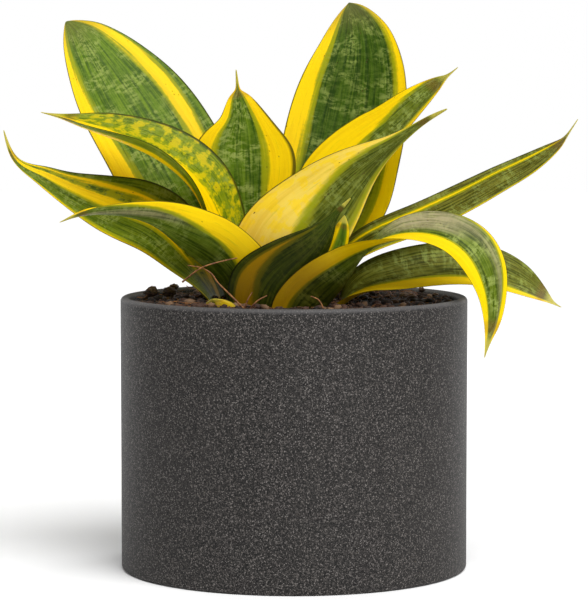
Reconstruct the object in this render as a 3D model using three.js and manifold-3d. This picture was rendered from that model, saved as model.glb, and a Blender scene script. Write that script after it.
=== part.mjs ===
// A short rosette snake plant with yellow-edged leaves, growing in a plain cylindrical pot.
// Millimetres, +Z up. The origin is the centre of the pot's foot, and the plant's front faces -Y.
import * as THREE from "three";
import { mergeVertices } from "three/addons/utils/BufferGeometryUtils.js";
import Module from "manifold-3d";

const wasm = await Module();
wasm.setup();

// Pot
const POT_DIAMETER = 140;
const POT_HEIGHT = 110;
const POT_WALL = 3.6;
const POT_FLOOR = 6;
const FOOT_ROUNDING = 1.6;
const INNER_CORNER = 5;
const POT_SIDES = 72;

// Soil
const SOIL_BELOW_RIM = 1.6;
const SOIL_TILT = 0.045;
const SOIL_CROSS_TILT = 0.012;
const SOIL_LUMP = 0.6;
const SOIL_EDGE_DROP = 1.2;
const SOIL_EDGE_WIDTH = 9;
const SOIL_RINGS = 10;
const SOIL_SIDES = 40;

// Plant
const FIT_GAP = 0.3;
const MARGIN_CLEARANCE = 3;
const ROOT_DEPTH = 17;
const LEAF_THICKNESS_AT_ROOT = 2.6;
const LEAF_THICKNESS_AT_TIP = 1.2;
const EDGE_THINNING = 2.6;
const STEP_LENGTH = 8;
const HALF_SEGMENTS = 3;

// Loose things on the soil
const FIBRE_DIAMETER = 0.8;
const FIBRE_SIDES = 6;
const FIBRE_STEPS = 10;
const PEBBLE_GAP = 0.5;

// The leaves' reach was set out over a pot of this diameter, and grows and shrinks with the pot.
const SET_OUT_DIAMETER = 140;
const spread = POT_DIAMETER / SET_OUT_DIAMETER;
const innerRadius = POT_DIAMETER / 2 - POT_WALL;
const soilRadius = innerRadius - FIT_GAP;

const plant = new THREE.Group();

function material(colour, roughness, metalness = 0) {
  return new THREE.MeshStandardMaterial({ color: colour, roughness, metalness });
}

function addMesh(name, geometry, look) {
  const mesh = new THREE.Mesh(geometry, look);
  mesh.name = name;
  plant.add(mesh);
  return mesh;
}

// Joins and cuts.
function solidOf(geometry) {
  const bare = new THREE.BufferGeometry();
  bare.setAttribute("position", geometry.getAttribute("position"));
  bare.setIndex(geometry.getIndex());
  const merged = mergeVertices(bare, 1e-3);
  return new wasm.Manifold(
    new wasm.Mesh({
      numProp: 3,
      vertProperties: new Float32Array(merged.getAttribute("position").array),
      triVerts: new Uint32Array(merged.getIndex().array),
    }),
  );
}

function geometryOf(solid) {
  const mesh = solid.getMesh();
  const geometry = new THREE.BufferGeometry();
  geometry.setAttribute("position", new THREE.BufferAttribute(new Float32Array(mesh.vertProperties), 3));
  geometry.setIndex(new THREE.BufferAttribute(new Uint32Array(mesh.triVerts), 1));
  return geometry;
}

function largestPiece(solid) {
  const pieces = solid.decompose();
  pieces.sort((a, b) => b.volume() - a.volume());
  return pieces[0];
}

// ---------------------------------------------------------------- pot

function arc(points, x, z, radius, from, to, steps) {
  for (let i = 0; i <= steps; i++) {
    const angle = THREE.MathUtils.degToRad(from + ((to - from) * i) / steps);
    points.push(new THREE.Vector2(x + radius * Math.cos(angle), z + radius * Math.sin(angle)));
  }
}

function makePot() {
  const outer = POT_DIAMETER / 2;
  const lip = POT_WALL / 2;
  const profile = [new THREE.Vector2(0, 0)];
  arc(profile, outer - FOOT_ROUNDING, FOOT_ROUNDING, FOOT_ROUNDING, -90, 0, 3);
  arc(profile, outer - lip, POT_HEIGHT - lip, lip, 0, 180, 6);
  arc(profile, innerRadius - INNER_CORNER, POT_FLOOR + INNER_CORNER, INNER_CORNER, 0, -90, 3);
  profile.push(new THREE.Vector2(0, POT_FLOOR));
  const geometry = new THREE.LatheGeometry(profile, POT_SIDES);
  geometry.rotateX(Math.PI / 2);
  addMesh("pot", geometry, material("#47423f", 0.75));
}

// ---------------------------------------------------------------- soil

// Height of the soil's surface: a gentle slope up to the back, with low lumps, dropping off at the wall.
function soilHeight(x, y) {
  const fromWall = soilRadius - Math.hypot(x, y);
  const edge = THREE.MathUtils.clamp(1 - fromWall / SOIL_EDGE_WIDTH, 0, 1);
  const lumps = SOIL_LUMP * (Math.sin(x * 0.21 + 1.3) * Math.cos(y * 0.17) + 0.6 * Math.sin(x * 0.09 - y * 0.31));
  return POT_HEIGHT - SOIL_BELOW_RIM + SOIL_TILT * y - SOIL_CROSS_TILT * x + lumps - SOIL_EDGE_DROP * edge * edge;
}

function soilSolid() {
  const positions = [];
  const index = [];
  const ring = (radius, heightAt) => {
    for (let side = 0; side < SOIL_SIDES; side++) {
      const angle = (2 * Math.PI * side) / SOIL_SIDES;
      const x = radius * Math.cos(angle);
      const y = radius * Math.sin(angle);
      positions.push(x, y, heightAt(x, y));
    }
  };
  const bottom = POT_FLOOR + FIT_GAP;
  positions.push(0, 0, bottom);
  ring(soilRadius - INNER_CORNER, () => bottom);
  ring(soilRadius, () => bottom + INNER_CORNER);
  for (let i = SOIL_RINGS; i > 0; i--) {
    ring((soilRadius * i) / SOIL_RINGS, soilHeight);
  }
  positions.push(0, 0, soilHeight(0, 0));
  const rings = SOIL_RINGS + 2;
  const at = (r, side) => 1 + r * SOIL_SIDES + (side % SOIL_SIDES);
  const top = 1 + rings * SOIL_SIDES;
  for (let side = 0; side < SOIL_SIDES; side++) {
    index.push(0, at(0, side + 1), at(0, side));
    index.push(top, at(rings - 1, side), at(rings - 1, side + 1));
    for (let r = 0; r < rings - 1; r++) {
      index.push(at(r, side), at(r, side + 1), at(r + 1, side + 1));
      index.push(at(r, side), at(r + 1, side + 1), at(r + 1, side));
    }
  }
  const geometry = new THREE.BufferGeometry();
  geometry.setAttribute("position", new THREE.Float32BufferAttribute(positions, 3));
  geometry.setIndex(index);
  return solidOf(geometry);
}

// ---------------------------------------------------------------- leaves

// A leaf follows its midrib from the root to the spike at its tip. `across` is the compass angle, in
// degrees from +X, of the line from one margin to the other; the inner face looks along across x midrib.
// Each station of the midrib is [x, y, height over the rim, half width, roll, curl]: roll turns the blade
// round its midrib, and curl is half the angle that its cross-section bends through, both in degrees.
const LEAVES = {
  leaf_back_left: {
    across: 20,
    stations: [
      [-17.5, 13, -ROOT_DEPTH, 9, 15, 32],
      [-23.5, 19, 2, 12, 8, 30],
      [-41.5, 27, 32, 24.5, 0, 22],
      [-57, 33, 60, 26.8, 0, 20],
      [-70, 39, 80, 24.8, 0, 18],
      [-82.6, 45, 98.4, 16.6, 0, 14],
      [-90, 48.6, 107.8, 9.2, 0, 8],
      [-93.6, 50.2, 110.4, 4.6, 0, 4],
      [-95.4, 50.9, 111.4, 1.4, 0, 0],
    ],
  },
  leaf_back_right: {
    across: -8,
    stations: [
      [-4, 8, -ROOT_DEPTH, 9, -8, 42],
      [4, 15, 2, 13, -4, 35],
      [14, 24, 33, 24.5, 0, 24],
      [19, 28, 53, 25.8, 0, 20],
      [23.5, 33, 75, 24.9, 0, 18],
      [26.5, 37, 95, 19.8, 0, 16],
      [26, 41, 110, 12, 0, 12],
      [24, 43, 116.5, 5.8, 0, 8],
      [23, 44, 119, 0.8, 0, 0],
    ],
  },
  leaf_centre: {
    across: 0,
    stations: [
      [-9.5, 3, -ROOT_DEPTH, 5.5, 18, 60],
      [-12.5, 10, 2, 7.5, 10, 40],
      [-19, 15.5, 30, 16.5, 0, 24],
      [-20.5, 17, 50, 22.4, 0, 20],
      [-20.7, 18, 58, 21.6, 0, 20],
      [-20.8, 18.6, 64, 18, 0, 20],
      [-20.6, 19, 68.5, 13.4, 0, 20],
      [-21, 19.5, 72.5, 9.6, 0, 20],
      [-22, 20, 77, 6.8, 0, 18],
      [-22.8, 20.5, 80.8, 4.2, 0, 16],
      [-23, 20.8, 82.6, 1.4, 0, 12],
      [-23.1, 21, 84.4, 0.6, 0, 8],
      [-23.7, 21.5, 91, 0.4, 0, 0],
    ],
  },
  leaf_left_upper: {
    across: 90,
    stations: [
      [-19.5, -3.5, -ROOT_DEPTH, 7, -8, 40],
      [-22.3, -2.7, 2, 8.5, -28, 42],
      [-30, -2.6, 27, 14.3, -34, 48],
      [-38, -6, 44, 19, -25, 53],
      [-52, -7, 55.5, 20.5, -16, 55],
      [-70, -4, 64, 15.5, -18, 50],
      [-85, -2, 69, 8.8, -18, 44],
      [-93.5, -1, 72, 2.8, -10, 40],
      [-101.5, -1, 74, 0.5, 0, 10],
    ],
  },
  leaf_left_long: {
    across: 90,
    stations: [
      [-27, -2, -ROOT_DEPTH, 8, -5, 28],
      [-33, -1, 0, 12, -20, 30],
      [-43, 0, 14, 16, -40, 30],
      [-56, 1, 28, 18.5, -50, 30],
      [-74, 3, 35, 16, -50, 28],
      [-92, 5, 42.5, 8.8, -50, 28],
      [-103, 6.5, 48.5, 5, -50, 28],
      [-110, 7, 51.5, 2.4, -45, 28],
      [-115, 7, 56.5, 1.4, -40, 20],
      [-117.5, 7, 66.5, 0.5, -30, 0],
    ],
  },
  leaf_left_front: {
    across: 110,
    stations: [
      [-18, -17, -ROOT_DEPTH, 8, 32, 30],
      [-18.5, -18, 0, 12, 40, 32],
      [-22, -19, 12.5, 14, 52, 34],
      [-29, -21, 19.5, 13, 58, 38],
      [-42.5, -24, 27, 11.8, 50, 45],
      [-56, -27, 32.5, 9.5, 30, 55],
      [-67, -29.5, 34.5, 7.5, 12, 62],
      [-78, -31.5, 35, 5.6, 0, 62],
      [-85, -33, 34, 2.6, 0, 50],
      [-91.5, -34, 31.5, 0.5, 0, 0],
    ],
  },
  leaf_front_right: {
    across: 180,
    stations: [
      [-5, -14, -ROOT_DEPTH, 9, 16, 40],
      [-8, -15.5, 0, 13, 8, 32],
      [-8.5, -17, 13, 21, -12, 28],
      [-2.5, -18.2, 26.5, 24, -28, 30],
      [9.5, -18.8, 38, 19.5, -26, 30],
      [24, -20, 51.5, 10.5, -8, 28],
      [38, -22, 61.5, 3.6, 0, 26],
      [46.5, -23, 67.5, 1.6, 0, 20],
      [53, -24, 72, 1.1, 0, 10],
      [60, -25, 75.5, 0.5, 0, 0],
    ],
  },
  leaf_right_upper: {
    across: -90,
    stations: [
      [-3, -6, -ROOT_DEPTH, 6, -28, 55],
      [-1, -3, 2, 7, -10, 45],
      [6, 1, 25, 10.5, 25, 38],
      [13, 3, 44, 15.5, 40, 36],
      [28, 4, 59, 15.5, 40, 34],
      [38.5, 4, 67, 13, 40, 32],
      [49.5, 4, 77.5, 9.6, 38, 32],
      [56.5, 5, 83.5, 6.8, 32, 30],
      [60.3, 5, 87, 4, 22, 28],
      [61.8, 5, 88.4, 1.5, 16, 22],
      [66, 5, 92, 0.5, 0, 0],
    ],
  },
  leaf_front_small: {
    across: 180,
    stations: [
      [-14, -25.5, -ROOT_DEPTH + 3, 12, -12, 26],
      [-13, -27.5, -3, 16, -11, 27],
      [-10.5, -28.5, 5.5, 19, -12, 28],
      [-4, -29.5, 13.5, 12.8, -10, 28],
      [3.5, -30, 19, 10, -5, 26],
      [9.5, -30, 24.5, 6.5, 0, 24],
      [14, -30, 30.5, 3, 0, 22],
      [15.8, -30, 34, 1.3, 0, 20],
      [22, -30, 40.5, 0.5, 0, 0],
    ],
  },
  leaf_young: {
    across: 180,
    stations: [
      [3.5, -21.5, -ROOT_DEPTH + 5, 3.5, 14, 16],
      [7.3, -23.3, -2, 5, 10, 20],
      [13.4, -24.9, 13, 5.3, 0, 22],
      [17.2, -25.4, 22, 4.6, 0, 22],
      [19, -25.4, 28, 3.4, 0, 20],
      [19.7, -25.4, 32, 1.4, 0, 10],
      [19.9, -25.4, 33.5, 0.4, 0, 0],
    ],
  },
  leaf_right_long: {
    across: -90,
    stations: [
      [7, -5, -ROOT_DEPTH, 7.5, 0, 34],
      [11.5, -4, 0, 9, 10, 34],
      [20, -1, 13.5, 9.5, 25, 32],
      [34, 1, 23, 9.5, 38, 30],
      [51, 2, 29.5, 9.8, 40, 30],
      [69, 3, 38, 9.5, 40, 30],
      [82.5, 4, 45.3, 8.4, 40, 30],
      [96, 5, 52.5, 6.9, 38, 28],
      [104.5, 6, 58.2, 5.2, 30, 26],
      [108.6, 6.5, 61.8, 3, 22, 22],
      [110.2, 6.6, 64, 1.2, 12, 14],
      [114.8, 7, 71, 0.5, 0, 0],
    ],
  },
  leaf_arching: {
    across: -115,
    stations: [
      [-0.5, -31, -ROOT_DEPTH + 2, 8.5, -48, 22],
      [1.5, -32, -2, 11.5, -50, 26],
      [9, -32, 6, 11, -50, 28],
      [18.5, -31, 12.8, 9.8, -38, 28],
      [28.5, -29.5, 20.6, 9.8, 2, 28],
      [38.5, -29, 26.2, 10.6, 26, 26],
      [49, -29, 28.2, 11.4, 31, 24],
      [60.5, -30, 27, 11.2, 37, 24],
      [70, -31, 21.5, 11, 44, 24],
      [75.5, -33, 12.5, 9.4, 46, 24],
      [77.8, -34, 2, 6.2, 44, 24],
      [77.5, -35, -8.5, 4, 38, 22],
      [76, -35, -14.5, 2, 20, 16],
      [74.8, -35, -21.5, 0.5, 0, 0],
    ],
  },
  leaf_right_low: {
    across: -90,
    stations: [
      [14, -16, -ROOT_DEPTH, 8, -20, 20],
      [18, -15, -3, 10, -10, 22],
      [26, -12, 4, 12, 20, 24],
      [38, -9, 8.5, 12.3, 38, 24],
      [55, -7, 11.5, 12.6, 42, 24],
      [70, -6, 12, 12.6, 42, 24],
      [84, -5, 9, 11.4, 42, 24],
      [95, -4, 3.5, 8.6, 36, 24],
      [101.5, -4, -0.8, 5, 24, 20],
      [104.3, -4, -2.6, 2.4, 10, 12],
      [107.5, -4, -4.2, 0.5, 0, 0],
    ],
  },
  sheath: {
    across: 145,
    stations: [
      [-28, -25, -ROOT_DEPTH + 6, 6, 0, 20],
      [-30, -26, -5, 10, 0, 22],
      [-31, -26.5, -1.5, 8, 0, 22],
      [-32, -27, 0.6, 2.5, 0, 10],
    ],
  },
};

// Loose coir fibres, each a line of points [x, y, height over the rim]; ON_SOIL rests a point on the soil.
const ON_SOIL = null;
const FIBRES = {
  fibre_long: [
    [-19.5, -36, ON_SOIL],
    [-25, -35, 3],
    [-30, -34, 8],
    [-32.5, -33.5, 11.4],
    [-36.2, -32, 13.4],
    [-41.7, -29, 14.2],
  ],
  fibre_across: [
    [-43.5, -29, 8],
    [-36.4, -33.2, 13.5],
    [-29, -31, 15.8],
    [-22.5, -27, 17],
  ],
  fibre_fork_left: [
    [-19.5, -38, ON_SOIL],
    [-18, -38, 1.5],
    [-16.3, -37.5, 4.3],
  ],
  fibre_fork_right: [
    [-18, -39.5, ON_SOIL],
    [-14.5, -39, 0.8],
    [-10.5, -38, 3],
  ],
  fibre_right: [
    [12, -40, ON_SOIL],
    [9.5, -39.5, 1.4],
    [6.5, -39, 2.8],
  ],
};

// Lumps of grit on the soil: [x, y, radius, stretch along x].
const PEBBLES = [
  [-58, 16, 2.1, 1],
  [-58, 8, 2, 1.5],
  [-49.5, 22, 1.8, 1],
  [-51, 9, 2.4, 1.2],
  [53, 30, 1.3, 1],
  [58, 19, 1.4, 1],
];

// Smooth values along a leaf, read at the same parameter as its midrib.
function bladeCurves(leaf) {
  const spine = leaf.stations.map(([x, y, rise]) => new THREE.Vector3(x * spread, y * spread, POT_HEIGHT + rise));
  const shape = leaf.stations.map(([, , , half, roll, curl]) => new THREE.Vector3(half, roll, curl));
  return {
    spine: new THREE.CatmullRomCurve3(spine, false, "catmullrom", 0.5),
    shape: new THREE.CatmullRomCurve3(shape, false, "catmullrom", 0.5),
    points: spine,
  };
}

// Parameters of the cross-sections: the stations themselves, and evenly spaced ones between them.
function sectionParameters(points) {
  const spans = points.length - 1;
  const parameters = [];
  for (let i = 0; i < spans; i++) {
    const steps = Math.max(1, Math.round(points[i].distanceTo(points[i + 1]) / STEP_LENGTH));
    for (let k = 0; k < steps; k++) {
      parameters.push((i + k / steps) / spans);
    }
  }
  parameters.push(1);
  return parameters;
}

// One closed leaf blade. `grow` makes it that much larger all round, for the slot it stands in, and more
// past the thin margins.
function leafGeometry(leaf, grow = 0) {
  const { spine, shape, points } = bladeCurves(leaf);
  const angle = THREE.MathUtils.degToRad(leaf.across);
  const level = new THREE.Vector3(Math.cos(angle), Math.sin(angle), 0);
  const parameters = sectionParameters(points);
  const around = 4 * HALF_SEGMENTS;
  const positions = [];
  const index = [];
  const start = spine.getPoint(0);
  const startTangent = spine.getTangent(0);
  const root = start.clone().addScaledVector(startTangent, -0.4 - grow);
  positions.push(...root);
  parameters.forEach((parameter) => {
    const centre = spine.getPoint(parameter);
    const tangent = spine.getTangent(parameter);
    const form = shape.getPoint(parameter);
    const half = Math.max(form.x, 0.35);
    const curl = THREE.MathUtils.degToRad(Math.max(form.z, 1));
    const radius = half / curl;
    const side = level.clone().addScaledVector(tangent, -level.dot(tangent)).normalize();
    side.applyAxisAngle(tangent, THREE.MathUtils.degToRad(form.y));
    const face = new THREE.Vector3().crossVectors(side, tangent);
    const taper = Math.min(1, half / 6);
    const thick =
      THREE.MathUtils.lerp(LEAF_THICKNESS_AT_ROOT, LEAF_THICKNESS_AT_TIP, parameter) * (0.35 + 0.65 * taper);
    for (let k = 0; k < around; k++) {
      // Upper face from margin to margin, then back along the lower face.
      const upper = k <= 2 * HALF_SEGMENTS;
      const across = upper ? -1 + k / HALF_SEGMENTS : 3 - k / HALF_SEGMENTS;
      const atMargin = Math.abs(across) === 1;
      const bend = across * (curl + (atMargin ? (MARGIN_CLEARANCE * grow) / radius : 0));
      const inward = face.clone().multiplyScalar(Math.cos(bend)).addScaledVector(side, -Math.sin(bend));
      const rise = (thick / 2) * (1 - Math.abs(across) ** EDGE_THINNING) + (atMargin ? 0 : grow);
      const lift = upper ? rise : -rise;
      const point = centre.clone();
      point.addScaledVector(side, radius * Math.sin(bend));
      point.addScaledVector(face, radius * (1 - Math.cos(bend)));
      point.addScaledVector(inward, lift);
      positions.push(...point);
    }
  });
  const end = spine.getPoint(1).addScaledVector(spine.getTangent(1), 0.4 + grow);
  positions.push(...end);
  const at = (ring, k) => 1 + ring * around + ((k + around) % around);
  const rings = parameters.length;
  const last = 1 + rings * around;
  for (let k = 0; k < around; k++) {
    index.push(0, at(0, k + 1), at(0, k));
    index.push(last, at(rings - 1, k), at(rings - 1, k + 1));
    for (let ring = 0; ring < rings - 1; ring++) {
      // The diagonals spread from the midrib on the upper face and gather to it on the lower one.
      const near = at(ring, k);
      const next = at(ring, k + 1);
      const nearUp = at(ring + 1, k);
      const nextUp = at(ring + 1, k + 1);
      if (k >= HALF_SEGMENTS && k < 3 * HALF_SEGMENTS) {
        index.push(near, nextUp, nearUp, near, next, nextUp);
      } else {
        index.push(near, next, nearUp, next, nextUp, nearUp);
      }
    }
  }
  const geometry = new THREE.BufferGeometry();
  geometry.setAttribute("position", new THREE.Float32BufferAttribute(positions, 3));
  geometry.setIndex(index);
  return geometry;
}

// ---------------------------------------------------------------- loose things

function fibreGeometry(points) {
  const radius = FIBRE_DIAMETER / 2;
  const path = points.map(([x, y, rise]) => {
    const lowest = soilHeight(x * spread, y * spread) + radius + FIT_GAP;
    return new THREE.Vector3(x * spread, y * spread, rise === ON_SOIL ? lowest : POT_HEIGHT + rise);
  });
  const outline = new THREE.Shape();
  outline.absarc(0, 0, radius, 0, 2 * Math.PI);
  return new THREE.ExtrudeGeometry(outline, {
    curveSegments: FIBRE_SIDES / 2,
    steps: FIBRE_STEPS,
    extrudePath: new THREE.CatmullRomCurve3(path),
  });
}

function addPebble(name, [x, y, radius, stretch]) {
  const geometry = new THREE.IcosahedronGeometry(radius, 1);
  geometry.deleteAttribute("normal");
  geometry.deleteAttribute("uv");
  const pebble = addMesh(name, mergeVertices(geometry, 1e-3), material("#6b5644", 0.9));
  pebble.scale.set(stretch, 1, 0.8);
  pebble.position.set(x * spread, y * spread, soilHeight(x * spread, y * spread) + 0.8 * radius + PEBBLE_GAP);
}

makePot();

let soil = soilSolid();
const leafGreen = material("#6f8a1e", 0.4);
for (const [name, leaf] of Object.entries(LEAVES)) {
  addMesh(name, leafGeometry(leaf), leafGreen.clone());
  soil = soil.subtract(solidOf(leafGeometry(leaf, FIT_GAP)));
}
for (const [name, points] of Object.entries(FIBRES)) {
  addMesh(name, fibreGeometry(points), material("#a8794a", 0.8));
}
PEBBLES.forEach((pebble, i) => {
  addPebble(`pebble_${i + 1}`, pebble);
});
addMesh("soil", geometryOf(largestPiece(soil)), material("#1c1310", 0.95));

export default plant;
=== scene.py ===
"""A short snake plant with yellow-edged leaves, in a plain dark stone pot. Metres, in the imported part's frame."""

import math
import random

import bmesh
import bpy
from mathutils import Matrix, Vector
from mathutils.noise import noise, seed_set


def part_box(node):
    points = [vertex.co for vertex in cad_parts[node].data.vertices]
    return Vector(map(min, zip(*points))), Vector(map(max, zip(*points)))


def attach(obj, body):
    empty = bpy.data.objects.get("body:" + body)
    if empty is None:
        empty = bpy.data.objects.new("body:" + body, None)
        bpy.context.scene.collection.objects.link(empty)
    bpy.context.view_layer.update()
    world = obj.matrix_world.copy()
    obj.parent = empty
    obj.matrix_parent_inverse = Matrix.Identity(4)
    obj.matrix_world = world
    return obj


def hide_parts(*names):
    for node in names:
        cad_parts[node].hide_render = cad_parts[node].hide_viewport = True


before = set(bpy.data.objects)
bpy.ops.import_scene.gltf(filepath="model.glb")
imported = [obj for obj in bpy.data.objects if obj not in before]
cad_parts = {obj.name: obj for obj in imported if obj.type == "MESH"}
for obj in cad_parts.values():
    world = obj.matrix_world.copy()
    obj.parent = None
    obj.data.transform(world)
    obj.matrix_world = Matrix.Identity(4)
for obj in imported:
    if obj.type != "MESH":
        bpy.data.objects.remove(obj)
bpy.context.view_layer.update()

seed_set(7)

MM = 0.001
SAME_PLACE = 1e-6
scene = bpy.context.scene

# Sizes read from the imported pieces
_, pot_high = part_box("pot")
soil_low, soil_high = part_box("soil")
POT_RADIUS = pot_high.x
RIM_HEIGHT = pot_high.z
SOIL_RADIUS = soil_high.x
FIT_GAP = 0.3 * MM
WALL_RADIUS = SOIL_RADIUS + FIT_GAP
WALL = POT_RADIUS - WALL_RADIUS

# Pot
RIM_ROUNDING = 1.7 * MM
FOOT_ROUNDING = 1.4 * MM
ROUNDING_STEPS = 6
POT_SIDES = 160

# Soil
SOIL_SIDES = 150
SOIL_RINGS = 34
SOIL_INTO_WALL = 0.2 * MM
SOIL_SKIRT = 9 * MM
SOIL_SKIN_DEPTH = 7 * MM
CRUMB_COUNT = 2600
CRUMB_KINDS = 6
HAIR_COUNT = 170

# Loose fibres and lumps
FIBRE_SIDES = 6
FIBRE_RADIUS = 0.42 * MM
LUMP_SINKS = 0.45 * MM

# Leaves
BLADE_SEGMENTS = 12
QUARTER = BLADE_SEGMENTS // 4
BLADE_SMOOTHING = 3
MARGIN_CREASE = 0.9
MAP_PER_METRE = 10.0


# ---------------------------------------------------------------- small helpers


def deselect_all():
    for thing in bpy.context.selected_objects:
        thing.select_set(False)


def make_active(piece):
    deselect_all()
    piece.select_set(True)
    bpy.context.view_layer.objects.active = piece


def new_object(name, data):
    piece = bpy.data.objects.new(name, data)
    scene.collection.objects.link(piece)
    return piece


def apply_modifier(piece, kind, **settings):
    modifier = piece.modifiers.new(kind.title(), kind)
    for name, value in settings.items():
        setattr(modifier, name, value)
    make_active(piece)
    bpy.ops.object.modifier_apply(modifier=modifier.name)


def put_in_mesh(piece):
    make_active(piece)
    bpy.ops.object.transform_apply(location=True, rotation=True, scale=True)


def shade_smooth(piece):
    for face in piece.data.polygons:
        face.use_smooth = True


def centre(points):
    points = list(points)
    return sum(points, Vector()) / len(points)


def merged_corners(node):
    """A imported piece's corners, each once, and for each one the corners it shares an edge with."""
    copied = bmesh.new()
    copied.from_mesh(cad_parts[node].data)
    bmesh.ops.remove_doubles(copied, verts=copied.verts, dist=SAME_PLACE)
    copied.verts.index_update()
    places = [corner.co.copy() for corner in copied.verts]
    links = [{edge.other_vert(corner).index for edge in corner.link_edges} for corner in copied.verts]
    copied.free()
    return places, links


def finish_piece(piece, material, slot, *nodes):
    piece.data.materials.clear()
    piece.data.materials.append(material)
    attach(piece, "root")
    if nodes:
        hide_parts(*nodes)
    return piece


# ---------------------------------------------------------------- material helpers

NUMBER = "NodeSocketFloat"
COLOUR = "NodeSocketColor"


class Nodes:
    """Places and links the nodes of one material or node group."""

    def __init__(self, tree):
        self.tree = tree
        self.column = 0

    def add(self, kind, **settings):
        node = self.tree.nodes.new(kind)
        node.location = (self.column * 190, -(self.column % 7) * 90)
        self.column += 1
        for name, value in settings.items():
            setattr(node, name, value)
        return node

    def plug(self, socket, value):
        if isinstance(value, bpy.types.NodeSocket):
            self.tree.links.new(value, socket)
        elif value is not None:
            socket.default_value = value

    def fill(self, node, **values):
        """Plugs each value into the input of that name, an underscore standing for a space."""
        for name, value in values.items():
            self.plug(node.inputs[name.replace("_", " ")], value)
        return node

    def math(self, operation, *values):
        node = self.add("ShaderNodeMath", operation=operation)
        for socket, value in zip(node.inputs, values):
            self.plug(socket, value)
        return node.outputs[0]

    def plus(self, a, b):
        return self.math("ADD", a, b)

    def minus(self, a, b):
        return self.math("SUBTRACT", a, b)

    def times(self, a, b):
        return self.math("MULTIPLY", a, b)

    def times_plus(self, a, b, c):
        return self.math("MULTIPLY_ADD", a, b, c)

    def smooth(self, value, low, high, start=0.0, end=1.0):
        """A soft step from `start` to `end` as the value passes from `low` to `high`."""
        node = self.add("ShaderNodeMapRange", interpolation_type="SMOOTHSTEP")
        self.fill(node, Value=value, From_Min=low, From_Max=high, To_Min=start, To_Max=end)
        return node.outputs["Result"]

    def mix(self, amount, a, b, blend="MIX"):
        node = self.add("ShaderNodeMix", data_type="RGBA", blend_type=blend)
        return self.fill(node, Factor=amount, A=a, B=b).outputs["Result"]

    def tint(self, colour, other, value, low, high, strength=1.0):
        """The colour, gone over to the other one as the value passes from `low` to `high`."""
        return self.mix(self.smooth(value, low, high, 0.0, strength), colour, other)

    def noise(self, vector, scale, detail=3.0, roughness=0.5, distortion=0.0):
        node = self.add("ShaderNodeTexNoise")
        self.fill(node, Vector=vector, Scale=scale, Detail=detail, Roughness=roughness, Distortion=distortion)
        return node.outputs["Fac"]

    def cells(self, vector, scale):
        """The distance to the nearest of many scattered points."""
        return self.fill(self.add("ShaderNodeTexVoronoi"), Vector=vector, Scale=scale).outputs["Distance"]

    def object_place(self):
        return self.add("ShaderNodeTexCoord").outputs["Object"]

    def attribute(self, name):
        return self.add("ShaderNodeAttribute", attribute_name=name).outputs["Fac"]

    def vector(self, x, y, z=0.0):
        return self.fill(self.add("ShaderNodeCombineXYZ"), X=x, Y=y, Z=z).outputs[0]

    def split(self, vector):
        return self.fill(self.add("ShaderNodeSeparateXYZ"), Vector=vector).outputs

    def scaled(self, vector, scale):
        return self.fill(self.add("ShaderNodeMapping"), Vector=vector, Scale=scale).outputs[0]

    def bump(self, height, strength, distance, normal=None):
        node = self.add("ShaderNodeBump")
        return self.fill(node, Height=height, Strength=strength, Distance=distance, Normal=normal).outputs["Normal"]

    def group(self, group, **values):
        return self.fill(self.add("ShaderNodeGroup", node_tree=group), **values).outputs


def new_group(name, inputs, outputs):
    """A node group. `inputs` are labels with their defaults, and `outputs` are labels with their socket types."""
    group = bpy.data.node_groups.new(name, "ShaderNodeTree")
    for label, default in inputs.items():
        kind = COLOUR if isinstance(default, tuple) else NUMBER
        group.interface.new_socket(label, in_out="INPUT", socket_type=kind).default_value = default
    for label, kind in outputs.items():
        group.interface.new_socket(label, in_out="OUTPUT", socket_type=kind)
    nodes = Nodes(group)
    return group, nodes, nodes.add("NodeGroupInput").outputs, nodes.add("NodeGroupOutput").inputs


def new_material(name):
    material = bpy.data.materials.new(name)
    material.use_nodes = True
    material.node_tree.nodes.clear()
    nodes = Nodes(material.node_tree)
    shader = nodes.add("ShaderNodeBsdfPrincipled")
    output = nodes.add("ShaderNodeOutputMaterial")
    nodes.plug(output.inputs["Surface"], shader.outputs["BSDF"])
    return material, nodes, shader


def rgb(red, green, blue):
    """A colour given as the usual 0 to 255 display values."""
    def linear(value):
        value /= 255
        return value / 12.92 if value <= 0.04045 else ((value + 0.055) / 1.055) ** 2.4
    return (linear(red), linear(green), linear(blue), 1.0)


# ---------------------------------------------------------------- leaf materials

YELLOW = rgb(250, 212, 0)
DEEP_YELLOW = rgb(222, 176, 0)
PALE_YELLOW = rgb(240, 212, 104)
YELLOW_GREEN = rgb(176, 172, 6)
NIGHT_GREEN = rgb(30, 50, 0)
DEEP_GREEN = rgb(58, 88, 3)
MID_GREEN = rgb(92, 122, 8)
FRESH_GREEN = rgb(124, 148, 24)
SILVER_GREEN = rgb(152, 166, 84)
GREY_GREEN = rgb(124, 118, 42)
GREY_BROWN = rgb(74, 64, 8)
OLIVE = rgb(136, 146, 2)
DEEP_OLIVE = rgb(92, 114, 0)
# Pale grey of the painted sheen streaks laid over the green of some leaves.
SHEEN_GREY = rgb(174, 160, 126)
SEAM_GREEN = rgb(138, 150, 4)
EDGE_GREEN = rgb(38, 46, 2)
SPECK_BROWN = rgb(70, 36, 12)
RING_BROWN = rgb(120, 72, 34)
SPIKE_STRAW = rgb(196, 184, 74)
BLUNT_TIP_TAN = rgb(112, 104, 58)
DARKENS_GREEN = (0.3, 0.4, 0.3, 1.0)
# Painted shade: multiplies a leaf darker and browner from the root up.
ROOT_SHADE_TINT = (0.2, 0.15, 0.02, 1.0)
MARGIN_STRENGTH = 0.88
OUTER_SEED_STEP = 3.7


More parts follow.
